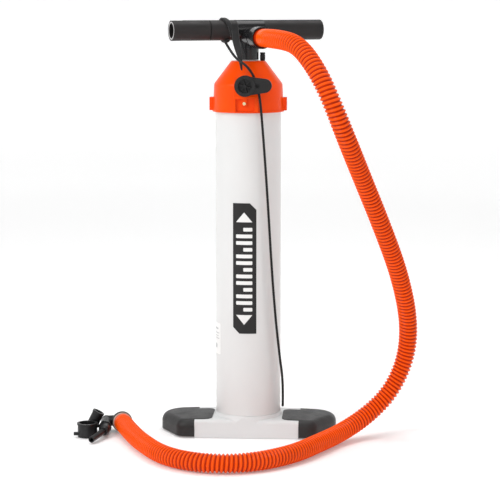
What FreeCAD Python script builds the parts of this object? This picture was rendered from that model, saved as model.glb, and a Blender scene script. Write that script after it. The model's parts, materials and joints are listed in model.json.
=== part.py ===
import FreeCAD, Part
import math
import os

# Double action hand pump. Millimetres, +Z up, X along the foot, -Y is the front.
# Origin: the middle of the foot's footprint, on the floor.

V = FreeCAD.Vector
Z = V(0, 0, 1)

# ---- driving dimensions ----------------------------------------------------------------
TUBE_R = 45.0                 # cylinder, 90 mm pipe
TUBE_BORE_R = 42.0
TUBE_BOTTOM = 19.0
TUBE_TOP = 475.4
PLUG_TOP = 29.0               # top face of the plug that closes the cylinder's lower end

FOOT_HALF_LENGTH = 121.7
FOOT_HALF_DEPTH = 46.0
FOOT_CREST = 26.2             # height of the crowned top in the middle
FOOT_CROWN_R = 1500.0         # crown across the foot
FOOT_LONG_R = 2090.0          # crown along the foot
FOOT_ROLL_R = 5.5             # the white block's rounded top edge
FOOT_CORNERS = [              # (x, y, radius) round the foot
    (-93, -46, 15), (93, -46, 15), (121.7, 4, 30), (121.7, 46, 30), (-121.7, 46, 30), (-121.7, 4, 30),
]
POCKET_TOP = 16.0             # the hollows under the foot
PAD_START_X = 72.0            # the pads' front edge
PAD_PROUD = 0.8
PAD_WALL = 3.0
PAD_EDGE_R = 11.0
PAD_LIFT = 1.8                # the pads end this far above the floor
PAD_SCREW_TOP = 23.0
TONGUE_START_X = 48.5         # the pads' top tongue ends here
TONGUE_FRONT_Y = -39.5
TONGUE_BACK_Y = 27.0
TONGUE_FLOOR = 20.0           # below the tongue's underside everywhere

CAP_BOTTOM = 449.0
CAP_SHOULDER = 486.7
CAP_TOP = 517.9
CAP_SKIRT_R = 48.4
CAP_SHOULDER_R = 47.0
CAP_TOP_R = 23.5
CAP_WALL = 3.4
CAP_LEDGE = 478.4             # the bumper's plate sits under this ledge
SEAL_T = 1.5                  # flat seal between cylinder and cap
LUG_R = 53.0
LUG_WIDTH = 14.0
LUG_BOTTOM = 450.4
LUG_TOP = 468.4
BOSS_HALF_WIDTH = 16.75
BOSS_FACE_Y = -50.6
WINDOW_LEFT = -14.0
WINDOW_RIGHT = 11.5
WINDOW_BOTTOM = 451.0
WINDOW_TOP = 468.0
LATCH_BOTTOM = 458.9
LATCH_SCREW_X = -2.25
LATCH_SCREW_Z = 461.9

ROD_R = 9.0
ROD_BORE_R = 7.0
ROD_BOTTOM = 40.0
ROD_TOP = 542.0
RUNNING = 0.06                # radial clearance of a running fit

GUIDE_BOTTOM = 492.4          # rotating rod guide in the cap
GUIDE_TOP = 518.7
GUIDE_FLANGE = 509.25
GUIDE_R = 13.0
WIPER_BOTTOM = 515.4

PISTON_R = 41.0
PISTON_BOTTOM = 39.0
PISTON_TOP = 55.0
GROOVE_1 = 42.0               # bottoms of the two seal grooves
GROOVE_2 = 48.5
GROOVE_H = 4.0
VALVE_LIFT = 2.0
BUMPER_BOTTOM = 468.4
BUMPER_TOP = 478.6

HANDLE_Z = 559.5              # axis of the cross handle
HANDLE_YAW = 24.5             # degrees from +X
HANDLE_LEFT = 111.0           # length on either side of the pump's axis
HANDLE_RIGHT = 106.8
GRIP_R = 13.8
CORE_R = 12.0
CORE_BORE_R = 10.4
HUB_HALF = 20.0               # half length of the hub along the handle
NECK_R = 14.3
NECK_BOTTOM = 519.4
NECK_TOP = 551.0
PIN_Z = 530.0
PORT_Z = 550.0                # axis of the hose port
PORT_MOUTH = 53.0             # port's mouth, from the pump's axis
PORT_RING_R = 15.0
CUFF_R = 12.2
CUFF_END = 60.0

HOSE_R = 12.75                # over the ribs
HOSE_BORE_R = 10.9
LEASH_R = 1.75

ALONG = V(math.cos(math.radians(HANDLE_YAW)), math.sin(math.radians(HANDLE_YAW)), 0)
OUT = V(ALONG.y, -ALONG.x, 0)           # the port's direction, square to the handle

# The hose from the port, round the right-hand side and over the floor to the nozzle.
HOSE_ROUTE = [
    (24.9, -54.6, 550), (47.5, -104.2, 550), (75, -146, 543), (100, -177, 511), (120, -187, 469),
    (137, -175, 425), (157, -136, 372), (185, -95, 300), (209, -54, 231), (223, -21, 163),
    (220, -8, 108), (198, -13, 60), (164, -29, 29), (129, -64, 13), (104, -117, 13), (70, -186, 13),
    (17, -236, 13), (-45, -242, 13), (-97, -206, 13), (-136, -129, 13), (-159, -68, 13.5),
    (-174.5, -22, 14.6),
]
# The leash from the strap, down behind its adapter and past the cylinder.
LEASH_ROUTE = [
    (-30.3, -16, 543.5), (-21.5, -33, 531), (-11.5, -46, 520.5), (0, -54, 514), (9, -57.2, 503),
    (15.3, -56.4, 488.5), (19.4, -54.8, 467.5), (22, -52.6, 437), (26.3, -50.8, 379),
    (30.6, -48.4, 312), (34.3, -45.6, 245.5), (39, -41.4, 178), (45, -34, 116), (50, -24.5, 76),
    (49.2, -22, 41),
]

# ---- helpers ---------------------------------------------------------------------------


def cyl(radius, bottom, top, x=0.0, y=0.0):
    return Part.makeCylinder(radius, top - bottom, V(x, y, bottom))


def ring(outer, inner, bottom, top, x=0.0, y=0.0):
    return cyl(outer, bottom, top, x, y).cut(cyl(inner, bottom, top, x, y))


def bar(radius, start, end):
    return Part.makeCylinder(radius, (end - start).Length, start, end - start)


def pipe(outer, inner, start, end):
    return bar(outer, start, end).cut(bar(inner, start, end))


def box(low, high):
    return Part.makeBox(high[0] - low[0], high[1] - low[1], high[2] - low[2], V(*low))


def turned(profile):
    """A solid of revolution about Z from (radius, height) points."""
    points = [V(r, 0, z) for r, z in profile]
    face = Part.Face(Part.makePolygon(points + points[:1]))
    return face.revolve(V(0, 0, 0), Z, 360)


def on_handle(distance, height=HANDLE_Z):
    """A point on the handle's axis, at a distance from the pump's axis."""
    return ALONG * distance + V(0, 0, height)


def on_port(distance, height=PORT_Z):
    return OUT * distance + V(0, 0, height)


def mirrored(shape):
    """The same piece on the other side of the pump."""
    return shape.mirror(V(0, 0, 0), V(1, 0, 0))


def around(shape, count, offset=0.0):
    """Copies of a shape, spaced evenly about the pump's axis."""
    copies = []
    for i in range(count):
        copy = shape.copy()
        copy.rotate(V(0, 0, 0), Z, offset + 360.0 * i / count)
        copies.append(copy)
    return copies


def eased(shape, radius, keep):
    """Rounds the edges that the test picks."""
    edges = [e for e in shape.Edges if keep(e)]
    return shape.makeFillet(radius, edges)


def save(name, shape):
    assert shape.isValid(), name
    assert all(s.Volume > 0 for s in shape.Solids), name
    shape.exportStep("parts/%s.step" % name)


# ---- the foot --------------------------------------------------------------------------


def rounded(corners):
    """A closed flat outline through (x, y, radius) corners."""
    points = [V(x, y, 0) for x, y, r in corners]
    arcs = []
    ends = []
    for i, corner in enumerate(points):
        a = (points[i - 1] - corner).normalize()
        b = (points[(i + 1) % len(points)] - corner).normalize()
        half = a.getAngle(b) / 2
        radius = corners[i][2]
        cut = radius / math.tan(half)
        middle = corner + (a + b).normalize() * (radius / math.sin(half) - radius)
        arcs.append(Part.Arc(corner + a * cut, middle, corner + b * cut).toShape())
        ends.append((corner + a * cut, corner + b * cut))
    edges = []
    for i, arc in enumerate(arcs):
        edges.append(arc)
        edges.append(Part.LineSegment(ends[i][1], ends[(i + 1) % len(ends)][0]).toShape())
    return Part.Wire(edges)


def crown(height):
    """Everything below the foot's crowned top."""
    wide = 70.0
    deep = height - (FOOT_CROWN_R - math.sqrt(FOOT_CROWN_R ** 2 - wide ** 2))
    top = Part.Arc(V(0, -wide, deep), V(0, 0, height), V(0, wide, deep)).toShape()
    sides = Part.makePolygon([V(0, wide, deep), V(0, wide, -10), V(0, -wide, -10), V(0, -wide, deep)])
    face = Part.Face(Part.Wire([top] + sides.Edges))
    centre = V(0, 0, height - FOOT_LONG_R)
    face.rotate(centre, V(0, 1, 0), -5)
    return face.revolve(centre, V(0, 1, 0), 10)


def foot_block(inset, edge_r):
    """The crowned foot, smaller by an inset on every outer side, with its top edge rounded."""
    plan = rounded(FOOT_CORNERS)
    if inset:
        plan = plan.makeOffset2D(-inset)
    block = Part.Face(plan).extrude(V(0, 0, FOOT_CREST + 10)).common(crown(FOOT_CREST - inset))
    return eased(block, edge_r, lambda e: e.BoundBox.ZMin > FOOT_CREST / 2)


def tongue_plan():
    """The pad's top tongue in plan, on the +X side, with round inner corners."""
    x0 = TONGUE_START_X
    x1 = FOOT_HALF_LENGTH
    corners = [
        (x1, TONGUE_FRONT_Y, 1), (x1, TONGUE_BACK_Y, 1), (x0, TONGUE_BACK_Y, 11), (x0, TONGUE_FRONT_Y, 11),
    ]
    return Part.Face(rounded(corners)).extrude(V(0, 0, 60))


def pad_screw_places():
    return [V(sx * 92, sy * 20, 0) for sx in (-1, 1) for sy in (-1, 1)]


def pad_screws():
    screws = []
    for p in pad_screw_places():
        head = cyl(3.6, POCKET_TOP - 2.6, POCKET_TOP - 0.1, p.x, p.y)
        screws.append(head.fuse(cyl(1.9, POCKET_TOP - 1, PAD_SCREW_TOP, p.x, p.y)))
    return Part.makeCompound(screws)


def foot_pocket():
    """The hollow under the foot's right-hand end, with one rib left across it."""
    outline = [V(54, -35, -1), V(92, -35, -1), V(104, -13, -1), V(104, 35, -1), V(54, 35, -1)]
    hollow = Part.Face(Part.makePolygon(outline + outline[:1])).extrude(V(0, 0, POCKET_TOP + 1))
    return hollow.cut(box((76, -36, -2), (79, 36, 30)))


def base_moulding():
    middle = box((-PAD_START_X, -60, 0), (PAD_START_X, 60, 60))
    white = foot_block(0, FOOT_ROLL_R).common(middle)
    core = foot_block(PAD_WALL, 5.0)
    above = box((-200, -60, TONGUE_FLOOR), (200, 60, 60))
    tongues = tongue_plan().fuse(mirrored(tongue_plan())).common(above)
    body = white.cut(tongues).fuse(core)
    collar = turned([(0, 10), (TUBE_R + 4.6, 10), (TUBE_R + 4.6, 17), (TUBE_R + 0.2, 31), (0, 31)])
    front = box((-60, -FOOT_HALF_DEPTH, 0), (60, 60, 60))
    body = body.fuse(collar.common(front))
    body = body.cut(cyl(TUBE_R + 0.03, TUBE_BOTTOM - 4, 60)).cut(cyl(36.0, -1, TUBE_BOTTOM))
    pocket = foot_pocket()
    body = body.cut(pocket).cut(mirrored(pocket))
    for p in pad_screw_places():
        body = body.cut(cyl(2.0, POCKET_TOP - 2, 40, p.x, p.y))
    air_notch = box((-12, 30, -1), (12, 60, 4))
    return body.cut(air_notch).removeSplitter()


def foot_pad():
    """The dark pad that wraps the foot's right-hand end, with its tongue on top."""
    outer = foot_block(-PAD_PROUD, PAD_EDGE_R)
    core = foot_block(PAD_WALL, 5.0)
    end = outer.common(box((PAD_START_X, -60, PAD_LIFT), (150, 60, 60)))
    tongue = outer.common(tongue_plan())
    tongue = tongue.common(box((TONGUE_START_X - 1, -60, TONGUE_FLOOR), (PAD_START_X + 1, 60, 60)))
    pad = end.fuse(tongue).cut(core)
    for p in pad_screw_places():
        pad = pad.cut(cyl(1.95, POCKET_TOP, PAD_SCREW_TOP + 0.1, p.x, p.y))
    return pad.removeSplitter()


# ---- the cylinder and what closes its lower end ----------------------------------------


def barrel_tube():
    tube = ring(TUBE_R, TUBE_BORE_R, TUBE_BOTTOM, TUBE_TOP)
    for a, b in cap_screw_axes():
        tube = tube.cut(bar(1.65, a, b))
    return tube


def base_plug():
    """Closes the cylinder's lower end, with the intake ports through it."""
    plug = cyl(TUBE_R - 0.1, TUBE_BOTTOM - 4, TUBE_BOTTOM)
    plug = plug.fuse(cyl(TUBE_BORE_R - 0.05, TUBE_BOTTOM - 1, PLUG_TOP))
    plug = plug.cut(ring(TUBE_BORE_R + 1, TUBE_BORE_R - 3.0, PLUG_TOP - 7.4, PLUG_TOP - 4.4))
    plug = plug.cut(cyl(2.55, 10, PLUG_TOP + 1))
    for port in around(cyl(4.0, 10, PLUG_TOP + 1, 12.0), 6):
        plug = plug.cut(port)
    return plug


def plug_seal():
    return Part.makeTorus(TUBE_BORE_R - 1.55, 1.45, V(0, 0, PLUG_TOP - 5.9))


def intake_valve_disc():
    return ring(18.5, 2.6, PLUG_TOP + 0.05, PLUG_TOP + 1.6)


def intake_guide_screw():
    shank = cyl(2.5, PLUG_TOP - 15, PLUG_TOP + 4)
    head = cyl(5.0, PLUG_TOP + 3.7, PLUG_TOP + 6)
    return shank.fuse(head).cut(box((-6, -0.5, PLUG_TOP + 5.2), (6, 0.5, PLUG_TOP + 7)))


def lower_bumper():
    top = PLUG_TOP + 6.5
    return eased(ring(40.5, 30.0, PLUG_TOP, top), 1.0, lambda e: e.BoundBox.ZMin > top - 0.5)


def graphic_panel():
    """A thin film on the cylinder's front: a plain panel with two cut corners."""
    low = 146.5
    high = 326.5
    film = ring(TUBE_R + 0.32, TUBE_R + 0.02, low, high)
    left = -18.4
    right = 13.8
    cut = 9.0
    outline = [
        (left + cut, low), (right, low), (right, high - cut), (right - cut, high), (left, high),
        (left, low + cut),
    ]
    points = [V(x, -60, z) for x, z in outline]
    window = Part.Face(Part.makePolygon(points + points[:1])).extrude(V(0, 50, 0))
    return film.common(window)


def side_label():
    film = ring(TUBE_R + 0.3, TUBE_R + 0.02, 113.5, 157)
    wedge = Part.makeCylinder(60, 100, V(0, 0, 90), Z, 34)
    wedge.rotate(V(0, 0, 0), Z, 182)
    return film.common(wedge)


# ---- the cap and its fittings ----------------------------------------------------------


def cap_outside():
    return turned([
        (0, CAP_BOTTOM), (CAP_SKIRT_R + 0.8, CAP_BOTTOM), (CAP_SKIRT_R + 0.8, CAP_BOTTOM + 2.2),
        (CAP_SKIRT_R, CAP_BOTTOM + 3.0), (CAP_SHOULDER_R, CAP_SHOULDER - 1.5),
        (CAP_SHOULDER_R - 0.8, CAP_SHOULDER + 1),
        (CAP_TOP_R + 0.6, CAP_TOP - 0.9), (CAP_TOP_R - 0.8, CAP_TOP), (0, CAP_TOP),
    ])


def cap_inside():
    slope = (CAP_SHOULDER_R - CAP_TOP_R) / (CAP_TOP - CAP_SHOULDER)
    roof = CAP_TOP - 4.0
    return turned([
        (0, CAP_BOTTOM - 1), (TUBE_R + 0.04, CAP_BOTTOM - 1), (TUBE_R + 0.04, TUBE_TOP + SEAL_T),
        (TUBE_BORE_R, TUBE_TOP + SEAL_T), (TUBE_BORE_R, CAP_LEDGE), (39.5, CAP_LEDGE), (39.5, CAP_LEDGE + 4),
        (CAP_TOP_R - CAP_WALL - 2 + slope * 4.0, roof), (0, roof),
    ])


def front_boss():
    """The squared front of the cap that frames the latch."""
    profile = [
        V(0, -40, LUG_BOTTOM), V(0, BOSS_FACE_Y, LUG_BOTTOM), V(0, BOSS_FACE_Y, LUG_TOP + 2),
        V(0, BOSS_FACE_Y + 3, CAP_SHOULDER - 3.3), V(0, -40, CAP_SHOULDER + 8.7),
    ]
    block = Part.Face(Part.makePolygon(profile + profile[:1])).extrude(V(2 * BOSS_HALF_WIDTH, 0, 0))
    block.translate(V(-BOSS_HALF_WIDTH, 0, 0))
    return block


def cap_shell():
    shell = cap_outside()
    lug = box((40, -LUG_WIDTH / 2, LUG_BOTTOM), (LUG_R, LUG_WIDTH / 2, LUG_TOP))
    for piece in (lug, mirrored(lug)):
        shell = shell.fuse(piece)
    back = lug.copy()
    back.rotate(V(0, 0, 0), Z, 90)
    shell = shell.fuse(back).fuse(front_boss())
    shell = shell.cut(cap_inside())
    guide_boss = ring(21.0, 17.1, GUIDE_FLANGE - 7.85, CAP_TOP - 3.9)
    shell = shell.fuse(guide_boss).cut(cyl(GUIDE_R + RUNNING, CAP_SHOULDER, CAP_TOP + 5))
    window = box((WINDOW_LEFT, -60, WINDOW_BOTTOM), (WINDOW_RIGHT, -46.9, WINDOW_TOP))
    shell = shell.cut(window)
    shell = shell.cut(cyl(2.0, CAP_SHOULDER, CAP_TOP + 5, PLUG_X))
    for a, b in cap_screw_axes():
        shell = shell.cut(bar(1.65, a, b)).cut(bar(3.1, a - (a - b).normalize() * 2.4, a))
    return shell.removeSplitter()


def cap_screw_axes():
    """Screws through the side and back lugs into the cylinder, from the outside in."""
    middle = (LUG_BOTTOM + LUG_TOP) / 2
    outer = LUG_R + 0.1
    inner = TUBE_BORE_R + 0.4
    return [
        (V(s * outer, 0, middle), V(s * inner, 0, middle)) for s in (-1, 1)
    ] + [(V(0, outer, middle), V(0, inner, middle))]


def cap_screws():
    screws = []
    for a, b in cap_screw_axes():
        inward = (b - a).normalize()
        head = bar(3.0, a + inward * 0.4, a + inward * 2.3)
        slot = bar(0.9, a, a + inward * 1.2)
        screws.append(head.fuse(bar(1.6, a + inward * 2.0, b)).cut(slot))
    return Part.makeCompound(screws)


def cap_latch():
    """The spring tab that hangs in the window."""
    tab = box((LATCH_SCREW_X - 3.4, -50.2, LATCH_BOTTOM), (LATCH_SCREW_X + 3.4, -47.0, WINDOW_TOP))
    return tab.cut(bar(1.25, latch_axis(-52), latch_axis(-46)))


def latch_axis(y):
    return V(LATCH_SCREW_X, y, LATCH_SCREW_Z)


def latch_screw():
    shank = bar(1.2, latch_axis(-50.9), latch_axis(-47.1))
    return shank.fuse(bar(2.2, latch_axis(-51.6), latch_axis(-50.25)))


def cap_seal():
    return ring(TUBE_R - 0.1, TUBE_BORE_R + 0.2, TUBE_TOP, TUBE_TOP + SEAL_T)


def upper_bumper():
    bumper = ring(39.3, 13.5, BUMPER_BOTTOM, BUMPER_TOP)
    return eased(bumper, 1.0, lambda e: e.BoundBox.ZMax < BUMPER_BOTTOM + 1)


def bumper_carrier():
    """The perforated plate under the cap that holds the upper bumper."""
    plate = ring(39.45, 13.2, BUMPER_TOP, BUMPER_TOP + 3)
    for port in around(cyl(4.5, BUMPER_TOP - 1, BUMPER_TOP + 4, 26), 8):
        plate = plate.cut(port)
    return plate


def guide_retainer():
    return ring(17.05, GUIDE_R + 0.3, GUIDE_FLANGE - 5.35, GUIDE_FLANGE - 0.15)


# ---- the small plug that switches between single and double action -----------------------

PLUG_X = 19.6
PLUG_KNOB_R = 3.6


def mode_plug():
    plug = cyl(1.95, CAP_TOP - 11, CAP_TOP + 0.3, PLUG_X)
    plug = plug.fuse(cyl(3.2, CAP_TOP + 0.15, CAP_TOP + 1.7, PLUG_X))
    knob = cyl(PLUG_KNOB_R, CAP_TOP + 1.5, CAP_TOP + 11.4, PLUG_X)
    knob = knob.cut(ring(PLUG_KNOB_R + 1, PLUG_KNOB_R - 0.5, CAP_TOP + 8.2, CAP_TOP + 9.2, PLUG_X))
    for i in range(12):
        groove = cyl(0.35, CAP_TOP + 2.1, CAP_TOP + 8.2, PLUG_X + PLUG_KNOB_R)
        groove.rotate(V(PLUG_X, 0, 0), Z, 30.0 * i)
        knob = knob.cut(groove)
    return plug.fuse(knob)


# ---- what turns with the handle but does not rise ----------------------------------------


def rod_guide():
    guide = cyl(GUIDE_R, GUIDE_BOTTOM, GUIDE_TOP).fuse(cyl(16.9, GUIDE_FLANGE, CAP_TOP - 4.1))
    guide = guide.cut(cyl(ROD_R + RUNNING, GUIDE_BOTTOM - 1, GUIDE_TOP + 1))
    return guide.cut(cyl(11.5, WIPER_BOTTOM, GUIDE_TOP + 1))


def wiper_seal():
    return ring(11.45, ROD_R + RUNNING, WIPER_BOTTOM + 0.05, GUIDE_TOP - 0.1)


# ---- the rod and the piston --------------------------------------------------------------


def piston_rod():
    rod = ring(ROD_R, ROD_BORE_R, ROD_BOTTOM, ROD_TOP)
    for port in around(bar(2.2, V(0, 0, ROD_BOTTOM + 25), V(20, 0, ROD_BOTTOM + 25)), 4):
        rod = rod.cut(port)
    return rod.cut(pin_bore())


def pin_bore():
    return bar(1.55, on_handle(-20, PIN_Z), on_handle(20, PIN_Z))


def piston_body():
    body = cyl(PISTON_R, PISTON_BOTTOM, PISTON_TOP)
    for groove in (GROOVE_1, GROOVE_2):
        body = body.cut(ring(PISTON_R + 1, 36.5, groove, groove + GROOVE_H))
    below = PISTON_BOTTOM - 1
    above = PISTON_TOP + 1
    body = body.cut(cyl(ROD_R + 0.02, below, above)).cut(cyl(15.0, below, PISTON_BOTTOM + 7))
    for port in around(cyl(3.0, below, above, 20.5), 8):
        body = body.cut(port)
    return body


def piston_seal(groove):
    """A lip seal in one of the piston's grooves."""
    bottom = groove + 0.1
    return turned([
        (36.6, bottom), (TUBE_BORE_R - 0.8, bottom), (TUBE_BORE_R - RUNNING, bottom + 1.2),
        (TUBE_BORE_R - RUNNING, bottom + 3.0), (TUBE_BORE_R - 1.6, bottom + 3.8), (36.6, bottom + 3.8),
    ])


def piston_nut():
    bottom = PISTON_BOTTOM + 1.5
    points = []
    for i in range(6):
        turn = math.radians(60 * i)
        points.append(V(13.5 * math.cos(turn), 13.5 * math.sin(turn), bottom))
    nut = Part.Face(Part.makePolygon(points + points[:1])).extrude(V(0, 0, 5.4))
    return nut.cut(cyl(ROD_R + 0.02, bottom - 1, bottom + 7))


def piston_valve_disc():
    return ring(26.0, ROD_R + RUNNING, PISTON_TOP + 0.05, PISTON_TOP + 1.6)


def rod_ring():
    """The retaining ring that limits the piston valve's lift."""
    bottom = PISTON_TOP + 1.6 + VALVE_LIFT + 0.1
    return ring(13.0, ROD_R + 0.01, bottom, bottom + 1.5)


# ---- the handle ----------------------------------------------------------------------------


def handle_hub():
    neck = cyl(NECK_R, NECK_BOTTOM, NECK_TOP)
    neck = neck.fuse(cyl(NECK_R + 0.9, PIN_Z + 4, PIN_Z + 6.2))
    cross = bar(GRIP_R + 0.3, on_handle(-HUB_HALF), on_handle(HUB_HALF))
    port = bar(12.9, on_port(0), on_port(PORT_MOUTH - 17))
    lip = bar(13.9, on_port(26), on_port(28.5))
    lip2 = bar(13.9, on_port(31), on_port(33.5))
    hub = neck.fuse(cross).fuse(port).fuse(lip).fuse(lip2)
    hub = hub.cut(cyl(ROD_R + 0.02, NECK_BOTTOM - 1, ROD_TOP + 0.05))
    hub = hub.cut(cyl(ROD_BORE_R, PIN_Z, PORT_Z + 6))
    hub = hub.cut(bar(10.4, on_port(0), on_port(60)))
    for side in (-1, 1):
        hub = hub.cut(bar(CORE_R + 0.02, on_handle(side * 10.5), on_handle(side * 30)))
    return hub.cut(pin_bore()).removeSplitter()


def hub_pin():
    return bar(1.5, on_handle(-NECK_R + 0.3, PIN_Z), on_handle(NECK_R - 0.3, PIN_Z))


def port_ring():
    shape = pipe(PORT_RING_R, 12.95, on_port(PORT_MOUTH - 17), on_port(PORT_MOUTH))
    front = on_port(PORT_MOUTH)
    return eased(shape, 0.9, lambda e: abs((e.CenterOfMass - front).dot(OUT)) < 0.1)


def hose_cuff_upper():
    return pipe(CUFF_R, 10.4, on_port(PORT_MOUTH - 16.9), on_port(CUFF_END))


def handle_tube(side):
    length = HANDLE_LEFT if side < 0 else HANDLE_RIGHT - 2.6
    return pipe(CORE_R, CORE_BORE_R, on_handle(side * 10.6), on_handle(side * length))


def grip_left():
    return pipe(GRIP_R, CORE_R + 0.02, on_handle(-HUB_HALF), on_handle(-57.4))


def end_sleeve_left():
    """The slotted sleeve on the left-hand end, with a narrow groove beside the grip."""
    groove = pipe(CORE_R + 0.6, CORE_R + 0.02, on_handle(-57.45), on_handle(-58.9))
    sleeve = groove.fuse(pipe(GRIP_R, CORE_R + 0.02, on_handle(-58.8), on_handle(-HANDLE_LEFT)))
    start = on_handle(-HANDLE_LEFT - 1)
    slot = Part.makeBox(19, 6.0, 6, V(-1, -3.0, 9), Z)
    slot.rotate(V(0, 0, 0), Z, HANDLE_YAW)
    slot.translate(start)
    return sleeve.cut(slot).removeSplitter()


def grip_right():
    return pipe(GRIP_R, CORE_R + 0.02, on_handle(HUB_HALF), on_handle(HANDLE_RIGHT - 2.5))


def end_cap_right():
    outer = on_handle(HANDLE_RIGHT)
    cap = bar(GRIP_R, on_handle(HANDLE_RIGHT - 2.5), outer)
    cap = eased(cap, 1.8, lambda e: (e.CenterOfMass - outer).Length < 0.1)
    return cap.fuse(bar(CORE_BORE_R - 0.05, on_handle(HANDLE_RIGHT - 14), on_handle(HANDLE_RIGHT - 2.4)))


# ---- the hose and the leash ----------------------------------------------------------------


def soft_path(points, label):
    """Straight runs joined by tangent arcs through a list of points."""
    p = [V(*q) for q in points]
    edges = []
    radii = []
    at = p[0]
    for before, corner, after in zip(p, p[1:], p[2:]):
        a = (before - corner).normalize()
        b = (after - corner).normalize()
        half_turn = (math.pi - a.getAngle(b)) / 2
        cut = 0.45 * min((before - corner).Length, (after - corner).Length)
        radius = cut / math.tan(half_turn)
        radii.append(radius)
        start = corner + a * cut
        end = corner + b * cut
        middle = corner + (a + b).normalize() * (radius / math.cos(half_turn) - radius)
        edges.append(Part.LineSegment(at, start).toShape())
        edges.append(Part.Arc(start, middle, end).toShape())
        at = end
    edges.append(Part.LineSegment(at, p[-1]).toShape())
    wire = Part.Wire(edges)
    print(label, "length %.0f" % wire.Length, "radii", " ".join("%.0f" % r for r in radii))
    return wire


def swept(points, outer, inner, label):
    """A tube along a route, or a solid cord when the inner radius is zero."""
    wire = soft_path(points, label)
    start = V(*points[0])
    direction = V(*points[1]) - start
    solid = wire.makePipe(Part.Face(Part.Wire(Part.makeCircle(outer, start, direction))))
    section = math.pi * outer ** 2
    if inner > 0:
        solid = solid.cut(wire.makePipe(Part.Face(Part.Wire(Part.makeCircle(inner, start, direction)))))
        section = math.pi * (outer ** 2 - inner ** 2)
    print(label, "volume %.0f" % solid.Volume, "section x length %.0f" % (section * wire.Length))
    return solid


def hose():
    return swept(HOSE_ROUTE, HOSE_R, HOSE_BORE_R, "hose")


def leash_cord():
    return swept(LEASH_ROUTE, LEASH_R, 0, "leash")


STRAP_FROM = -38.0            # the strap goes round the handle on the slant
STRAP_TO = -27.0


def leash_strap():
    """The webbing loop round the handle."""
    return pipe(GRIP_R + 2.8, GRIP_R + 0.05, on_handle(STRAP_FROM), on_handle(STRAP_TO))


def strap_tail():
    """The webbing's tail, from the handle down past the hub to the leash."""
    stations = [
        (V(-16.4, -25.6, 559.5), ALONG, 5.0, 1.2), (V(-14.5, -33.0, 545.5), ALONG, 5.2, 1.2),
        (V(-11.2, -38.5, 533.0), V(1, 0, 0), 4.4, 1.2), (V(-8.0, -42.5, 520.5), V(1, 0, 0), 2.8, 1.1),
        (V(-6.0, -44.5, 506.5), V(1, 0, 0), 1.0, 0.8),
    ]
    faces = []
    for centre, way, half, thin in stations:
        side = way * half
        face = V(-way.y, way.x, 0) * thin
        corners = [centre - side - face, centre + side - face, centre + side + face, centre - side + face]
        faces.append(Part.makePolygon(corners + corners[:1]))
    return Part.makeLoft(faces, True, True)


ADAPTER_Z = 486.2
ADAPTER_FRONT = -67.5
ADAPTER_BACK = -59.6
ADAPTER_CENTRE_X = -0.3
ADAPTER_ARM_X = 26.2


def leash_adapter():
    """The flat valve adapter carried on the leash: a spoked ring with an arm."""
    back = V(ADAPTER_CENTRE_X, ADAPTER_BACK, ADAPTER_Z)
    front = V(ADAPTER_CENTRE_X, ADAPTER_FRONT, ADAPTER_Z)
    disc = bar(14.25, back, front)
    tip_front = V(ADAPTER_ARM_X, ADAPTER_FRONT + 1.5, ADAPTER_Z + 0.4)
    tip_back = V(ADAPTER_ARM_X, ADAPTER_BACK, ADAPTER_Z + 0.4)
    arm_points = [
        V(4, ADAPTER_BACK, ADAPTER_Z + 12.6), V(ADAPTER_ARM_X + 1, ADAPTER_BACK, ADAPTER_Z + 9.7),
        V(ADAPTER_ARM_X + 1, ADAPTER_BACK, ADAPTER_Z - 8.9), V(4, ADAPTER_BACK, ADAPTER_Z - 12.6),
    ]
    thickness = V(0, ADAPTER_FRONT + 1.5 - ADAPTER_BACK, 0)
    arm = Part.Face(Part.makePolygon(arm_points + arm_points[:1])).extrude(thickness)
    body = disc.fuse(arm).fuse(bar(9.3, tip_back, tip_front))
    bore = bar(9.2, front, back + V(0, -1.6, 0))
    spokes = bar(2.2, back, front + V(0, 2.0, 0))
    for i in range(3):
        blade = Part.makeBox(18.2, 4.5, 1.4, V(-9.1, 0, -0.7))
        blade.rotate(V(0, 0, 0), V(0, 1, 0), 60 * i + 15)
        blade.translate(V(ADAPTER_CENTRE_X, ADAPTER_BACK - 5.5, ADAPTER_Z))
        spokes = spokes.fuse(blade)
    hole = bar(2.6, V(16.7, ADAPTER_FRONT - 1, ADAPTER_Z + 0.3), V(16.7, ADAPTER_FRONT + 5, ADAPTER_Z + 0.3))
    return body.cut(bore).fuse(spokes).cut(hole).removeSplitter()


# ---- the nozzle and its adapters, lying on the floor ------------------------------------------

HOSE_END = V(*HOSE_ROUTE[-1])
HOSE_END_WAY = (HOSE_END - V(*HOSE_ROUTE[-2])).normalize()
NOZZLE_START = V(-199.0, -14.0, 12.3)
NOZZLE_BODY_END = V(-196.0, -55.0, 10.5)
NOZZLE_TIP_END = V(-208.6, -93.0, 6.0)
NOZZLE_WAY = (NOZZLE_BODY_END - NOZZLE_START).normalize()
NOZZLE_R = 7.5
TIP_R = 4.2
CUP = V(-220.6, -47.6, 0)
SHORT_REST = V(-220.9, -23.8, 4.2)
SHORT_FOOT = V(-218.5, -23.6, 9.0)
SHORT_TOP = V(-208.0, -22.6, 30.0)
FLANGE_R = 14.3


def hose_cuff_lower():
    return pipe(13.4, 10.4, HOSE_END, HOSE_END + HOSE_END_WAY * 4.0)


def nozzle_flange():
    start = HOSE_END + HOSE_END_WAY * 4.0
    return pipe(FLANGE_R, 9.0, start, start + HOSE_END_WAY * 3.6)


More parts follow.
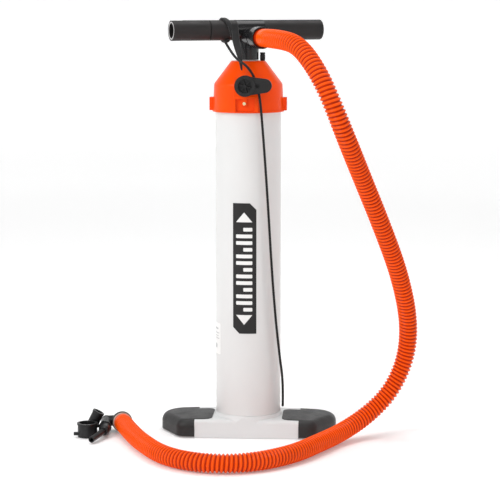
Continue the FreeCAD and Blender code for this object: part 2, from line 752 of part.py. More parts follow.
def nozzle_elbow():
    """Turns the air back from the hose to the nozzle."""
    start = HOSE_END + HOSE_END_WAY * 7.6
    end = start + HOSE_END_WAY * 12.0
    elbow = bar(11.5, start, end)
    elbow = eased(elbow, 4.0, lambda e: (e.CenterOfMass - end).Length < 0.1)
    turn = NOZZLE_START - NOZZLE_WAY * 9.0
    branch = bar(NOZZLE_R, start + HOSE_END_WAY * 5.5, turn).fuse(Part.makeSphere(NOZZLE_R + 0.5, turn))
    branch = branch.fuse(bar(NOZZLE_R, turn, NOZZLE_START - NOZZLE_WAY * 0.05))
    return elbow.fuse(branch.cut(hose_side(start)))


def hose_side(start):
    """Room for the hose and its flange on their side of the elbow's face."""
    return bar(FLANGE_R + 0.4, start - HOSE_END_WAY * 30, start)


def nozzle_outline():
    start = NOZZLE_START
    way = NOZZLE_WAY
    body = bar(NOZZLE_R, start, NOZZLE_BODY_END)
    body = body.fuse(bar(NOZZLE_R + 1.2, start + way * 22, start + way * 25))
    body = body.fuse(Part.makeCone(NOZZLE_R, 5.2, 5.0, NOZZLE_BODY_END, way))
    return body.cut(bar(14.0, tip_start(), NOZZLE_TIP_END))


def nozzle_body():
    """The stepped nozzle: a wide barrel with a rib."""
    bore = bar(2.8, NOZZLE_START - NOZZLE_WAY, NOZZLE_BODY_END + NOZZLE_WAY * 8)
    return nozzle_outline().cut(bore)


def tip_start():
    return NOZZLE_BODY_END + (NOZZLE_TIP_END - NOZZLE_BODY_END).normalize() * 5.4


def nozzle_tip():
    return pipe(TIP_R, 2.8, tip_start(), NOZZLE_TIP_END)


def cup_adapter():
    """The large cup adapter, standing open end up."""
    cup = ring(13.5, 11.2, 0.3, 19.5, CUP.x, CUP.y).fuse(cyl(13.5, 0.3, 5.0, CUP.x, CUP.y))
    cup = cup.fuse(ring(14.3, 11.2, 17.0, 19.5, CUP.x, CUP.y))
    tab = box((CUP.x - 17.8, CUP.y - 9.5, 3.4), (CUP.x - 8, CUP.y - 5.5, 7.6))
    return cup.fuse(tab.cut(cyl(12.5, 0, 30, CUP.x, CUP.y))).removeSplitter()


def short_outline():
    way = (SHORT_TOP - SHORT_FOOT).normalize()
    tube = bar(7.9, SHORT_REST, SHORT_TOP)
    return tube.fuse(bar(8.5, SHORT_FOOT, SHORT_FOOT + way * 5)).fuse(bar(8.5, SHORT_TOP - way * 3, SHORT_TOP))


def short_adapter():
    """The short tube adapter behind the cup, leaning back."""
    way = (SHORT_TOP - SHORT_FOOT).normalize()
    return short_outline().cut(bar(6.0, SHORT_TOP - way * 14, SHORT_TOP + way))


def adapter_tie():
    """The moulded strip that keeps the adapters on the nozzle."""
    strip = box((-214, -44, 12), (-203, -39, 15)).fuse(box((-212, -40, 12), (-207, -28, 15)))
    return strip.cut(cyl(14.3, 0, 30, CUP.x, CUP.y)).cut(nozzle_outline()).cut(short_outline())


def main():
    os.makedirs("parts", exist_ok=True)
    pieces = {
        "base_moulding": base_moulding(),
        "foot_pad_right": foot_pad(),
        "foot_pad_left": mirrored(foot_pad()),
        "pad_screws": pad_screws(),
        "barrel_tube": barrel_tube(),
        "base_plug": base_plug(),
        "plug_seal": plug_seal(),
        "intake_valve_disc": intake_valve_disc(),
        "intake_guide_screw": intake_guide_screw(),
        "lower_bumper": lower_bumper(),
        "graphic_panel": graphic_panel(),
        "side_label": side_label(),
        "cap_shell": cap_shell(),
        "cap_screws": cap_screws(),
        "cap_latch": cap_latch(),
        "cap_seal": cap_seal(),
        "latch_screw": latch_screw(),
        "upper_bumper": upper_bumper(),
        "bumper_carrier": bumper_carrier(),
        "guide_retainer": guide_retainer(),
        "mode_plug": mode_plug(),
        "rod_guide": rod_guide(),
        "wiper_seal": wiper_seal(),
        "piston_rod": piston_rod(),
        "piston_body": piston_body(),
        "piston_seal_lower": piston_seal(GROOVE_1),
        "piston_seal_upper": piston_seal(GROOVE_2),
        "piston_nut": piston_nut(),
        "piston_valve_disc": piston_valve_disc(),
        "rod_ring": rod_ring(),
        "handle_hub": handle_hub(),
        "hub_pin": hub_pin(),
        "port_ring": port_ring(),
        "hose_cuff_upper": hose_cuff_upper(),
        "handle_tube_left": handle_tube(-1),
        "handle_tube_right": handle_tube(1),
        "grip_left": grip_left(),
        "end_sleeve_left": end_sleeve_left(),
        "grip_right": grip_right(),
        "end_cap_right": end_cap_right(),
        "hose": hose(),
        "leash_cord": leash_cord(),
        "leash_strap": leash_strap(),
        "strap_tail": strap_tail(),
        "leash_adapter": leash_adapter(),
        "hose_cuff_lower": hose_cuff_lower(),
        "nozzle_flange": nozzle_flange(),
        "nozzle_elbow": nozzle_elbow(),
        "nozzle_body": nozzle_body(),
        "nozzle_tip": nozzle_tip(),
        "cup_adapter": cup_adapter(),
        "short_adapter": short_adapter(),
        "adapter_tie": adapter_tie(),
    }
    for name, shape in pieces.items():
        save(name, shape)


main()
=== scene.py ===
import json
import math

import bmesh
import bpy
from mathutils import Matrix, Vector


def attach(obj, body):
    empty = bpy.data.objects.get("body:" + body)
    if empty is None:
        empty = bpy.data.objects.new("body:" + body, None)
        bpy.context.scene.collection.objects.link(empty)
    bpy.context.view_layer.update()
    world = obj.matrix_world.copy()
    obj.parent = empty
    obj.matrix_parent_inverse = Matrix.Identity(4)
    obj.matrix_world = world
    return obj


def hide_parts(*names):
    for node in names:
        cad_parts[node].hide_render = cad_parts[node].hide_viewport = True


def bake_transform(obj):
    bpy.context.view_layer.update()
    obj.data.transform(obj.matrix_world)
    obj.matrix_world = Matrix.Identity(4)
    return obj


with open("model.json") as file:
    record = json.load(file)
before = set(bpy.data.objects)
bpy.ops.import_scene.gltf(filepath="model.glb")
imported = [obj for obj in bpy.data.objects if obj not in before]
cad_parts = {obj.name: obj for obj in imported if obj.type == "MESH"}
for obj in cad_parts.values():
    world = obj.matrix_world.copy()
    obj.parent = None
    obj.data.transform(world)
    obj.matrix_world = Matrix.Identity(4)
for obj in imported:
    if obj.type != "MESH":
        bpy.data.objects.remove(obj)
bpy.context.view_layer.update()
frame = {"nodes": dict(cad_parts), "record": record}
nodes = frame["nodes"]

# ---- sizes, in metres -------------------------------------------------------------------
TUBE_R = 0.045
HANDLE_Z = 0.5595
HANDLE_YAW = math.radians(24.5)
GRIP_R = 0.0138
HOSE_CREST = 0.01275          # radius over the ribs
HOSE_VALLEY = 0.0102
HOSE_PLAIN = 0.01235          # radius where the hose has no ribs
HOSE_BORE = 0.0096
HOSE_PITCH = 0.0054
HOSE_SIDES = 40
HUB_PLAIN = 0.006             # no ribs at all up to here, at the hub
HUB_FADE = 0.030              # over this length the ribs come in
NOZZLE_PLAIN = 0.004
NOZZLE_FADE = 0.012
LEASH_R = 0.00175
LEASH_SIDES = 24
BRAID_STRANDS = 6
BRAID_PITCH = 0.0048
STRAP_LOW = -0.0330           # the strap goes round the handle on the slant
STRAP_TOP = -0.0370
STRAP_FRONT = -0.0275
STRAP_OVER = 0.64             # share of the loop at which it lies on top of the handle
STRAP_STEPS = 44
STRAP_HALF = 0.0034
STRAP_LIFT = 0.0018           # from the grip's surface to the middle of the webbing
TUBE_RIM = -0.1104            # past here the handle tube's end is painted light: the cut metal rim with a painted highlight
FILM_GAP = 0.00002            # panel and label lie this far off the cylinder
PANEL_THICK = 0.00022
LABEL_THICK = 0.0002

ALONG = Vector((math.cos(HANDLE_YAW), math.sin(HANDLE_YAW), 0))
OUT = Vector((math.sin(HANDLE_YAW), -math.cos(HANDLE_YAW), 0))
UP = Vector((0, 0, 1))

HOSE_ROUTE = [
    (0.0249, -0.0546, 0.550), (0.0475, -0.1042, 0.550), (0.075, -0.146, 0.543), (0.100, -0.177, 0.511),
    (0.120, -0.187, 0.469), (0.137, -0.175, 0.425), (0.157, -0.136, 0.372), (0.185, -0.095, 0.300),
    (0.209, -0.054, 0.231), (0.223, -0.021, 0.163), (0.220, -0.008, 0.108), (0.198, -0.013, 0.060),
    (0.164, -0.029, 0.029), (0.129, -0.064, 0.013), (0.104, -0.117, 0.013), (0.070, -0.186, 0.013),
    (0.017, -0.236, 0.013), (-0.045, -0.242, 0.013), (-0.097, -0.206, 0.013), (-0.136, -0.129, 0.013),
    (-0.159, -0.068, 0.0135), (-0.1745, -0.022, 0.0146),
]
LEASH_ROUTE = [
    (-0.0303, -0.016, 0.5435), (-0.0215, -0.033, 0.531), (-0.0115, -0.046, 0.5205), (0.000, -0.054, 0.514),
    (0.009, -0.0572, 0.503), (0.0153, -0.0564, 0.4885), (0.0194, -0.0548, 0.4675), (0.022, -0.0526, 0.437),
    (0.0263, -0.0508, 0.379), (0.0306, -0.0484, 0.312), (0.0343, -0.0456, 0.2455), (0.039, -0.0414, 0.178),
    (0.045, -0.034, 0.116), (0.050, -0.0245, 0.076), (0.0492, -0.022, 0.041),
]


# ---- mesh helpers -------------------------------------------------------------------------


def add_object(name, mesh, smooth=True):
    obj = bpy.data.objects.new(name, mesh)
    bpy.context.scene.collection.objects.link(obj)
    if smooth:
        for poly in mesh.polygons:
            poly.use_smooth = True
    return obj


def from_bmesh(name, bm, smooth=True):
    bmesh.ops.recalc_face_normals(bm, faces=bm.faces)
    mesh = bpy.data.meshes.new(name)
    bm.to_mesh(mesh)
    bm.free()
    return add_object(name, mesh, smooth)


def spline_points(name, route, per_span):
    """Closely spaced points along the smooth curve that a route's points control."""
    curve = bpy.data.curves.new(name, "CURVE")
    curve.dimensions = "3D"
    curve.resolution_u = per_span
    spline = curve.splines.new("NURBS")
    spline.points.add(len(route) - 1)
    for point, co in zip(spline.points, route):
        point.co = (*co, 1.0)
    spline.order_u = 3
    spline.use_endpoint_u = True
    holder = bpy.data.objects.new(name, curve)
    bpy.context.scene.collection.objects.link(holder)
    bpy.context.view_layer.update()
    mesh = bpy.data.meshes.new_from_object(holder)
    points = [v.co.copy() for v in mesh.vertices]
    bpy.data.objects.remove(holder)
    bpy.data.meshes.remove(mesh)
    return points


def resample(points, step):
    """Points at even distances along a polyline, with the distance of each."""
    total = sum((b - a).length for a, b in zip(points, points[1:]))
    count = max(2, round(total / step))
    spacing = total / count
    out = [(points[0].copy(), 0.0)]
    walked = 0.0
    wanted = spacing
    for a, b in zip(points, points[1:]):
        length = (b - a).length
        while length > 0 and wanted <= walked + length + 1e-9 and len(out) < count:
            out.append((a.lerp(b, (wanted - walked) / length), wanted))
            wanted += spacing
        walked += length
    out.append((points[-1].copy(), total))
    return out


def frames_along(points):
    """For each point, its direction and two square directions that turn as little as they can."""
    result = []
    side = None
    for i, p in enumerate(points):
        a = points[max(i - 1, 0)]
        b = points[min(i + 1, len(points) - 1)]
        way = (b - a).normalized()
        if side is None:
            side = way.orthogonal().normalized()
        side = (side - way * side.dot(way)).normalized()
        result.append((way, side, way.cross(side)))
    return result


def ring_of(bm, middle, side, other, sides, radius_at):
    """One ring of vertices round a point."""
    ring = []
    for k in range(sides):
        angle = 2 * math.pi * k / sides
        r = radius_at(angle)
        ring.append(bm.verts.new(middle + side * (r * math.cos(angle)) + other * (r * math.sin(angle))))
    return ring


def join_rings(bm, rings):
    """Faces between each ring and the next."""
    for a, b in zip(rings, rings[1:]):
        count = len(a)
        for k in range(count):
            n = (k + 1) % count
            bm.faces.new((a[k], a[n], b[n], b[k]))


def tube_mesh(name, stations, sides, radius_at, bore=None):
    """A closed tube: stations are (point, distance), and radius_at(distance, angle) is its surface."""
    frames = frames_along([p for p, _ in stations])
    bm = bmesh.new()
    rings = []
    for (p, s), (_, side, other) in zip(stations, frames):
        rings.append(ring_of(bm, p, side, other, sides, lambda angle: radius_at(s, angle)))
    if bore:
        for (p, _), (_, side, other) in zip(reversed(stations), reversed(frames)):
            rings.append(ring_of(bm, p, side, other, sides, lambda angle: bore))
        rings.append(rings[0])
    join_rings(bm, rings)
    if not bore:
        bm.faces.new(list(reversed(rings[0])))
        bm.faces.new(rings[-1])
    return from_bmesh(name, bm)


def ribbon(name, stations, thick, across=10, rib=0.0):
    """A strap with rounded edges: stations are (centre, width direction, face direction, half width)."""
    bm = bmesh.new()
    rings = []
    for i, (centre, side, face, half) in enumerate(stations):
        ring = []
        for sign in (1, -1):
            for k in range(across + 1):
                t = (k / across * 2 - 1) * sign
                edge = math.sqrt(max(0.0, 1 - abs(t) ** 6))
                lift = thick / 2 * (0.35 + 0.65 * edge) + rib * (1 if (i + k) % 2 else -1)
                ring.append(bm.verts.new(centre + side * (half * t) + face * (lift * sign)))
        rings.append(ring)
    join_rings(bm, rings)
    bm.faces.new(list(reversed(rings[0])))
    bm.faces.new(rings[-1])
    return from_bmesh(name, bm)


# ---- materials ----------------------------------------------------------------------------


def new_material(name):
    mat = bpy.data.materials.new(name)
    mat.use_nodes = True
    tree = mat.node_tree
    tree.nodes.clear()
    out = tree.nodes.new("ShaderNodeOutputMaterial")
    shader = tree.nodes.new("ShaderNodeBsdfPrincipled")
    tree.links.new(shader.outputs["BSDF"], out.inputs["Surface"])
    return mat, tree, shader


def noise(tree, scale, detail=4.0, rough=0.55):
    coords = tree.nodes.new("ShaderNodeTexCoord")
    tex = tree.nodes.new("ShaderNodeTexNoise")
    tex.inputs["Scale"].default_value = scale
    tex.inputs["Detail"].default_value = detail
    tex.inputs["Roughness"].default_value = rough
    tree.links.new(coords.outputs["Object"], tex.inputs["Vector"])
    return tex.outputs["Fac"]


def ramp(tree, value, low, high, start=0.35, end=0.65):
    node = tree.nodes.new("ShaderNodeValToRGB")
    node.color_ramp.elements[0].position = start
    node.color_ramp.elements[0].color = (*low, 1)
    node.color_ramp.elements[1].position = end
    node.color_ramp.elements[1].color = (*high, 1)
    tree.links.new(value, node.inputs["Fac"])
    return node.outputs["Color"]


def spread(tree, value, low, high, start=0.3, end=0.7):
    node = tree.nodes.new("ShaderNodeMapRange")
    node.inputs["From Min"].default_value = start
    node.inputs["From Max"].default_value = end
    node.inputs["To Min"].default_value = low
    node.inputs["To Max"].default_value = high
    tree.links.new(value, node.inputs["Value"])
    return node.outputs["Result"]


def bumps(tree, shader, layers, edge=0.0):
    """Relief from (height, distance) layers, over edges rounded by a small radius."""
    normal = None
    if edge:
        bevel = tree.nodes.new("ShaderNodeBevel")
        bevel.samples = 4
        bevel.inputs["Radius"].default_value = edge
        normal = bevel.outputs["Normal"]
    for height, distance in layers:
        bump = tree.nodes.new("ShaderNodeBump")
        bump.inputs["Strength"].default_value = 1.0
        bump.inputs["Distance"].default_value = distance
        tree.links.new(height, bump.inputs["Height"])
        if normal is not None:
            tree.links.new(normal, bump.inputs["Normal"])
        normal = bump.outputs["Normal"]
    if normal is not None:
        tree.links.new(normal, shader.inputs["Normal"])


def moulded(name, dark, light, rough, grain, edge=0.0006, coat=0.0, metal=0.0, sheen=0.0, spec=0.5):
    """Plastic, rubber or metal: slow colour drift, fine grain (scale, depth), uneven gloss and
    softly rounded edges."""
    mat, tree, shader = new_material(name)
    drift = noise(tree, 9.0, 3.0)
    fine = noise(tree, grain[0], 3.0, 0.6)
    patches = noise(tree, 60.0, 4.0, 0.6)
    tree.links.new(ramp(tree, drift, dark, light), shader.inputs["Base Color"])
    tree.links.new(spread(tree, patches, rough[0], rough[1]), shader.inputs["Roughness"])
    bumps(tree, shader, [(fine, grain[1])], edge)
    shader.inputs["Coat Weight"].default_value = coat
    shader.inputs["Coat Roughness"].default_value = 0.08
    shader.inputs["Specular IOR Level"].default_value = spec
    shader.inputs["Metallic"].default_value = metal
    shader.inputs["Sheen Weight"].default_value = sheen
    shader.inputs["Sheen Roughness"].default_value = 0.5
    return mat


def near_grey(low, high):
    """A dark and a light grey as two colours."""
    return {"dark": (low,) * 3, "light": (high,) * 3}


FINISHES = {
    "white_shell": dict(dark=(0.660, 0.670, 0.670), light=(0.680, 0.690, 0.690), rough=(0.38, 0.42),
                        grain=(900, 0.00003), edge=0.0012),
    "white_pipe": dict(dark=(0.665, 0.665, 0.660), light=(0.680, 0.680, 0.675), rough=(0.30, 0.32),
                       grain=(700, 0.00001), edge=0.0005, coat=0.25),
    "pad_rubber": dict(dark=(0.0085, 0.0080, 0.0080), light=(0.014, 0.0135, 0.0135), rough=(0.42, 0.55),
                       grain=(1400, 0.00014), edge=0.001, spec=0.45),
    "steel": dict(**near_grey(0.55, 0.68), rough=(0.22, 0.38), grain=(1500, 0.00001), metal=1.0, edge=0.0003),
    "brass": dict(dark=(0.72, 0.60, 0.34), light=(0.86, 0.76, 0.50), rough=(0.2, 0.34),
                  grain=(1500, 0.00001), metal=1.0, edge=0.0003),
    "inner_plastic": dict(dark=(0.60, 0.60, 0.58), light=(0.66, 0.66, 0.64), rough=(0.4, 0.5),
                          grain=(900, 0.00003)),
    "seal_rubber": dict(**near_grey(0.018, 0.028), rough=(0.5, 0.6), grain=(900, 0.00003)),
    "orange_shell": dict(dark=(0.86, 0.060, 0.000), light=(0.93, 0.078, 0.001), rough=(0.28, 0.36),
                         grain=(1200, 0.00002), edge=0.0011, spec=0.12),
    "black_gloss": dict(dark=(0.008, 0.008, 0.009), light=(0.012, 0.012, 0.013), rough=(0.16, 0.24),
                        grain=(600, 0.00002), edge=0.0008, coat=0.2, spec=0.3),
    "black_plastic": dict(dark=(0.007, 0.007, 0.0073), light=(0.012, 0.012, 0.0125), rough=(0.30, 0.44),
                          grain=(1300, 0.00005), edge=0.0006, spec=0.3),
    "aluminium_tube": dict(dark=(0.62, 0.62, 0.63), light=(0.72, 0.72, 0.73), rough=(0.25, 0.4),
                           grain=(1500, 0.00001), metal=1.0, edge=0.0003),
    "grip_cover": dict(dark=(0.013, 0.0115, 0.0115), light=(0.020, 0.018, 0.018), rough=(0.42, 0.58),
                       grain=(1500, 0.00010), edge=0.0006, spec=0.3),
    "clear_band": dict(dark=(0.50, 0.36, 0.30), light=(0.62, 0.48, 0.42), rough=(0.2, 0.3),
                       grain=(900, 0.00002), coat=0.5),
    "leash_black": dict(**near_grey(0.008, 0.016), rough=(0.6, 0.8), grain=(2500, 0.00008), edge=0,
                        sheen=0.1, spec=0.2),
    "webbing": dict(dark=(0.008, 0.008, 0.008), light=(0.022, 0.022, 0.023), rough=(0.6, 0.8),
                    grain=(2500, 0.00010), edge=0, sheen=0.2, spec=0.2),
    "panel_film": dict(dark=(0.012, 0.011, 0.011), light=(0.016, 0.015, 0.015), rough=(0.28, 0.4),
                       grain=(900, 0.00001), edge=0.0001, spec=0.3),
    "label_film": dict(dark=(0.78, 0.78, 0.77), light=(0.82, 0.82, 0.81), rough=(0.3, 0.4),
                       grain=(900, 0.00001), edge=0),
    "mark_white": dict(dark=(0.74, 0.74, 0.73), light=(0.80, 0.80, 0.79), rough=(0.35, 0.45),
                       grain=(900, 0.00001), edge=0),
    "mark_grey": dict(dark=(0.40, 0.40, 0.41), light=(0.50, 0.50, 0.51), rough=(0.4, 0.5),
                      grain=(900, 0.00001), edge=0),
}
MATERIALS = {name: moulded(name, **how) for name, how in FINISHES.items()}


def bore_shade_tube_lit_rim(name):
    """Handle tube painted dark all over as painted shade for its deep bore, with a light band at its cut
    left-hand end: the metal rim, partly its own colour and partly a painted highlight.
    """
    mat, tree, shader = new_material(name)
    coords = tree.nodes.new("ShaderNodeTexCoord")
    along = tree.nodes.new("ShaderNodeVectorMath")
    along.operation = "DOT_PRODUCT"
    along.inputs[1].default_value = ALONG
    tree.links.new(coords.outputs["Object"], along.inputs[0])
    bare_rim_highlight = tree.nodes.new("ShaderNodeMath")
    bare_rim_highlight.operation = "LESS_THAN"
    bare_rim_highlight.inputs[1].default_value = TUBE_RIM
    tree.links.new(along.outputs["Value"], bare_rim_highlight.inputs[0])
    mix = tree.nodes.new("ShaderNodeMix")
    mix.data_type = "RGBA"
    tree.links.new(bare_rim_highlight.outputs["Value"], mix.inputs["Factor"])
    grain = noise(tree, 1500, 3.0)
    # dark: painted shade for the bore; light: the cut metal rim with a painted highlight
    tree.links.new(ramp(tree, grain, (0.010, 0.009, 0.009), (0.016, 0.015, 0.015)), mix.inputs[6])
    tree.links.new(ramp(tree, grain, (0.42, 0.41, 0.41), (0.55, 0.54, 0.54)), mix.inputs[7])
    tree.links.new(mix.outputs[2], shader.inputs["Base Color"])
    shader.inputs["Roughness"].default_value = 0.45
    shader.inputs["Specular IOR Level"].default_value = 0.3
    bumps(tree, shader, [(grain, 0.00002)])
    return mat


def ribbed_plastic(name):
    """Hose plastic: brighter on the ribs, with painted shade in the valleys between them, darker and redder.
    """
    mat, tree, shader = new_material(name)
    rib = tree.nodes.new("ShaderNodeAttribute")
    rib.attribute_name = "rib"
    # painted shade: the colour darkens and reddens from the crests down into the valleys, by rib height
    painted_valley_shade = ramp(tree, rib.outputs["Fac"], (0.42, 0.020, 0.000), (0.95, 0.092, 0.001), 0.15, 0.8)
    drift = tree.nodes.new("ShaderNodeMix")
    drift.data_type = "RGBA"
    drift.blend_type = "MULTIPLY"
    drift.inputs["Factor"].default_value = 1.0
    tree.links.new(painted_valley_shade, drift.inputs[6])
    tree.links.new(ramp(tree, noise(tree, 9.0, 3.0), (0.93, 0.92, 0.92), (1.0, 1.0, 1.0)), drift.inputs[7])
    tree.links.new(drift.outputs[2], shader.inputs["Base Color"])
    tree.links.new(spread(tree, noise(tree, 60.0), 0.26, 0.34), shader.inputs["Roughness"])
    shader.inputs["Specular IOR Level"].default_value = 0.14
    bumps(tree, shader, [(noise(tree, 1200, 3.0), 0.00002)])
    return mat


MATERIALS["handle_tube"] = bore_shade_tube_lit_rim("handle_tube")
MATERIALS["orange_hose"] = ribbed_plastic("orange_hose")


def finish_of(obj, slot):
    obj.data.materials.clear()
    obj.data.materials.append(MATERIALS[slot])
    return obj


def paint_cad():
    slots = {s["node"]: s["material_slot"] for s in frame["record"]["subparts"]}
    for name, obj in nodes.items():
        mat = MATERIALS["handle_tube" if name.startswith("handle_tube") else slots[name]]
        if not obj.material_slots:
            obj.data.materials.append(mat)
        for slot in obj.material_slots:
            slot.material = mat


# ---- the corrugated hose ---------------------------------------------------------------------


def make_hose():
    path = spline_points("hose_line", HOSE_ROUTE, 40)
    stations = resample(path, HOSE_PITCH / 8)
    total = stations[-1][1]

    def radius(s, angle):
        wave = 0.5 + 0.5 * math.cos(2 * math.pi * s / HOSE_PITCH + angle)
        ribbed = HOSE_VALLEY + (HOSE_CREST - HOSE_VALLEY) * wave ** 0.7
        fade = max(0.0, min(1.0, (s - HUB_PLAIN) / HUB_FADE, (total - s - NOZZLE_PLAIN) / NOZZLE_FADE))
        return HOSE_PLAIN + (ribbed - HOSE_PLAIN) * fade * fade * (3 - 2 * fade)

    tube = tube_mesh("corrugated_hose", stations, HOSE_SIDES, radius, bore=HOSE_BORE)
    hose = finish_of(tube, "orange_hose")
    # rib height at each vertex, 0 in the valleys to 1 on the crests; the hose material paints shade into the
    # valleys from it
    rib = hose.data.attributes.new("rib", "FLOAT", "POINT")
    for i, (_, s) in enumerate(stations):
        for k in range(HOSE_SIDES):
            height = radius(s, 2 * math.pi * k / HOSE_SIDES) - HOSE_VALLEY
            rib.data[i * HOSE_SIDES + k].value = height / (HOSE_CREST - HOSE_VALLEY)
    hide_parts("hose")
    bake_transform(hose)


# ---- the leash -----------------------------------------------------------------------------


def make_leash():
    path = spline_points("leash_line", LEASH_ROUTE, 30)
    stations = resample(path, 0.0008)

    def radius(s, angle):
        a = math.cos(BRAID_STRANDS * angle + 2 * math.pi * s / BRAID_PITCH)
        b = math.cos(BRAID_STRANDS * angle - 2 * math.pi * s / BRAID_PITCH)
        return LEASH_R * (0.93 + 0.07 * max(a, b))

    cord = finish_of(tube_mesh("leash_braid", stations, LEASH_SIDES, radius), "leash_black")
    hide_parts("leash_cord")
    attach(cord, "handle")


def make_strap():
    """The webbing: round the handle on the slant, then down past the hub to a point."""
    stations = []
    for i in range(STRAP_STEPS + 1):
        t = i / STRAP_STEPS
        angle = math.radians(-60 - 330 * t)
        radial = (OUT * math.cos(angle) + UP * math.sin(angle)).normalized()
        if t < STRAP_OVER:
            place = STRAP_LOW + (STRAP_TOP - STRAP_LOW) * t / STRAP_OVER
        else:
            place = STRAP_TOP + (STRAP_FRONT - STRAP_TOP) * (t - STRAP_OVER) / (1 - STRAP_OVER)
        centre = ALONG * place + UP * HANDLE_Z + radial * (GRIP_R + STRAP_LIFT)
        side = (ALONG + (radial.cross(ALONG)) * 0.3).normalized()
        stations.append((centre, side, radial, STRAP_HALF))
    loop = finish_of(ribbon("strap_loop", stations, 0.0030, rib=0.00012), "webbing")
    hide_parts("leash_strap")
    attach(loop, "handle")
    knots = [
        ((-0.0170, -0.0238, 0.5680), 0.0047, ALONG), ((-0.0162, -0.0262, 0.5595), 0.0050, ALONG),
        ((-0.0145, -0.0330, 0.5455), 0.0052, ALONG), ((-0.0112, -0.0385, 0.5330), 0.0044, Vector((1, 0, 0))),
        ((-0.0080, -0.0425, 0.5205), 0.0028, Vector((1, 0, 0))),
        ((-0.0060, -0.0445, 0.5065), 0.0010, Vector((1, 0, 0))),
    ]
    tail = []
    for (a, wa, sa), (b, wb, sb) in zip(knots, knots[1:]):
        for i in range(10):
            t = i / 10
            side = sa.lerp(sb, t).normalized()
            way = (Vector(b) - Vector(a)).normalized()
            face = side.cross(way).normalized() * -1
            tail.append((Vector(a).lerp(Vector(b), t), side, face, wa + (wb - wa) * t))
    end = knots[-1]
    tail.append((Vector(end[0]), end[2], tail[-1][2], end[1]))
    piece = finish_of(ribbon("strap_end", tail, 0.0022, rib=0.00010), "webbing")
    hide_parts("strap_tail")
    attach(piece, "handle")


# ---- the panel and the label on the cylinder ---------------------------------------------------


def wrapped(name, outline, radius, thick, slot):
    """A thin shape that follows the cylinder: outline is (distance round it, height) points."""
    bm = bmesh.new()
    face = bm.faces.new([bm.verts.new((x, 0, z)) for x, z in outline])
    bmesh.ops.recalc_face_normals(bm, faces=bm.faces)
    low = min(x for x, _ in outline)
    high = max(x for x, _ in outline)
    step = 0.002
    x = low + step
    while x < high:
        everything = bm.verts[:] + bm.edges[:] + bm.faces[:]
        bmesh.ops.bisect_plane(bm, geom=everything, plane_co=(x, 0, 0), plane_no=(1, 0, 0))
        x += step
    back = bmesh.ops.extrude_face_region(bm, geom=bm.faces[:])
    for v in back["geom"]:
        if isinstance(v, bmesh.types.BMVert):
            v.co.y = 1.0
    for v in bm.verts:
        r = radius + (thick if v.co.y < 0.5 else 0.0)
        angle = v.co.x / TUBE_R - math.pi / 2
        v.co = Vector((r * math.cos(angle), r * math.sin(angle), v.co.z))
    obj = from_bmesh(name, bm, smooth=False)
    finish_of(obj, slot)
    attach(obj, "barrel")
    return obj


def rounded(x0, z0, x1, z1, r):
    """The outline of a rectangle with rounded corners."""
    points = []
    corners = ((x1 - r, z1 - r, 0), (x0 + r, z1 - r, 90), (x0 + r, z0 + r, 180), (x1 - r, z0 + r, 270))
    for cx, cz, start in corners:
        for i in range(5):
            a = math.radians(start + 22.5 * i)
            points.append((cx + r * math.cos(a), cz + r * math.sin(a)))
    return points


def make_panel():
    left = -0.0187
    right = 0.0139
    low = 0.1465
    high = 0.3265
    cut = 0.009
    outline = [
        (left + cut, low), (right, low), (right, high - cut), (right - cut, high), (left, high),
        (left, low + cut),
    ]
    panel = wrapped("front_panel", outline, TUBE_R + FILM_GAP, PANEL_THICK, "panel_film")
    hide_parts("graphic_panel")
    top = TUBE_R + FILM_GAP + PANEL_THICK
    middle = (left + right) / 2 - 0.0005
    marks = []
    reach = 0.0112
    for sign, base in ((1, 0.3005), (-1, 0.1725)):
        tip = base + sign * 0.0135
        shape = [(middle - reach, base), (middle + reach, base), (middle, tip)]
        marks.append(shape if sign > 0 else list(reversed(shape)))
    for i in range(13):
        z = 0.1775 + i * 0.0092
        start = middle - reach if i % 3 else middle - reach * 0.1
        marks.append(rounded(start, z, middle + reach, z + 0.0050, 0.0010))
    for i, shape in enumerate(marks):
        mark = wrapped("panel_mark_%02d" % i, shape, top, 0.00008, "mark_white")


def make_label():
    start = -0.0690
    outline = rounded(start, 0.1135, start + 0.0262, 0.157, 0.002)
    label = wrapped("pipe_label", outline, TUBE_R + FILM_GAP, LABEL_THICK, "label_film")
    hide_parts("side_label")
    top = TUBE_R + FILM_GAP + LABEL_THICK
    inset = start + 0.0035
    lines = [
        (0.1480, 0.016, 0.0022), (0.1425, 0.019, 0.0010), (0.1385, 0.017, 0.0010), (0.1350, 0.019, 0.0010),
        (0.1215, 0.012, 0.0060),
    ]
    for i, (z, wide, tall) in enumerate(lines):
        shape = rounded(inset, z, inset + wide, z + tall, tall * 0.3)
        mark = wrapped("label_mark_%02d" % i, shape, top, 0.00006, "mark_grey")


# ---- floor, light and camera --------------------------------------------------------------------


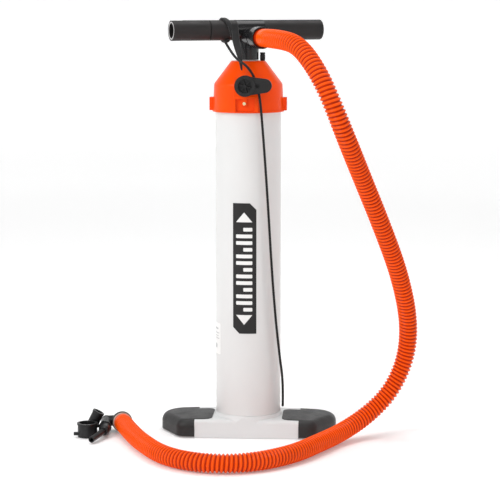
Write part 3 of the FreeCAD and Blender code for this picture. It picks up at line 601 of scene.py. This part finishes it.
def make_stage():
    """A round floor whose rim curves up into a low wall, so every side has the same pale ground."""
    bm = bmesh.new()
    reach = 7.0
    bend = 1.5
    profile = [(0.4, 0.0), (1.5, 0.0), (3.0, 0.0), (reach - bend, 0.0)]
    for i in range(1, 13):
        a = math.radians(90 * i / 12)
        profile.append((reach - bend + bend * math.sin(a), bend - bend * math.cos(a)))
    profile.append((reach, 4.0))
    turns = 96
    rows = []
    for r, z in profile:
        middle = Vector((0, 0, z - 0.0004))
        rows.append(ring_of(bm, middle, Vector((1, 0, 0)), Vector((0, 1, 0)), turns, lambda angle: r))
    bm.faces.new(rows[0])
    join_rings(bm, rows)
    floor = from_bmesh("studio_floor", bm)
    mat, tree, shader = new_material("studio_white")
    pale = ramp(tree, noise(tree, 0.7), (0.90, 0.90, 0.90), (0.92, 0.92, 0.92))
    tree.links.new(pale, shader.inputs["Base Color"])
    shader.inputs["Roughness"].default_value = 0.9
    # Painted light: the floor emits light, weakly near the object and more out towards the wall, which
    # lightens the cast shadows on the floor and lights the object from all round.
    coords = tree.nodes.new("ShaderNodeTexCoord")
    away = tree.nodes.new("ShaderNodeVectorMath")
    away.operation = "LENGTH"
    tree.links.new(coords.outputs["Object"], away.inputs[0])
    painted_glow = spread(tree, away.outputs["Value"], 0.12, 0.36, 0.6, 3.5)
    shader.inputs["Emission Color"].default_value = (1, 1, 1, 1)
    tree.links.new(painted_glow, shader.inputs["Emission Strength"])
    floor.data.materials.append(mat)


def area(name, place, target, size, watts):
    light = bpy.data.lights.new(name, "AREA")
    light.shape = "RECTANGLE"
    light.size, light.size_y = size
    light.energy = watts
    obj = bpy.data.objects.new(name, light)
    obj.location = place
    obj.rotation_euler = (Vector(target) - Vector(place)).to_track_quat("-Z", "Y").to_euler()
    bpy.context.scene.collection.objects.link(obj)


def make_lights():
    world = bpy.data.worlds.new("studio")
    world.use_nodes = True
    world.node_tree.nodes["Background"].inputs["Color"].default_value = (1, 1, 1, 1)
    world.node_tree.nodes["Background"].inputs["Strength"].default_value = 0.38
    bpy.context.scene.world = world
    area("key", (-1.5, -1.6, 1.9), (0, 0, 0.3), (1.2, 1.2), 32)
    area("fill", (1.7, -1.2, 1.3), (0, 0, 0.3), (1.4, 1.4), 2)
    area("top", (0, 0.3, 2.4), (0, 0, 0.2), (1.8, 1.8), 28)
    bpy.context.scene.view_settings.view_transform = "Standard"


def make_camera():
    camera = bpy.data.cameras.new("camera")
    camera.lens = 136.2
    camera.sensor_width = 36.0
    obj = bpy.data.objects.new("camera", camera)
    obj.location = (0.1678, -2.5946, 0.60935)
    obj.rotation_euler = (math.radians(82.27), 0, math.radians(3.65))
    bpy.context.scene.collection.objects.link(obj)
    bpy.context.scene.camera = obj


make_camera()
make_lights()
make_stage()
paint_cad()
make_hose()
make_leash()
make_strap()
make_panel()
make_label()
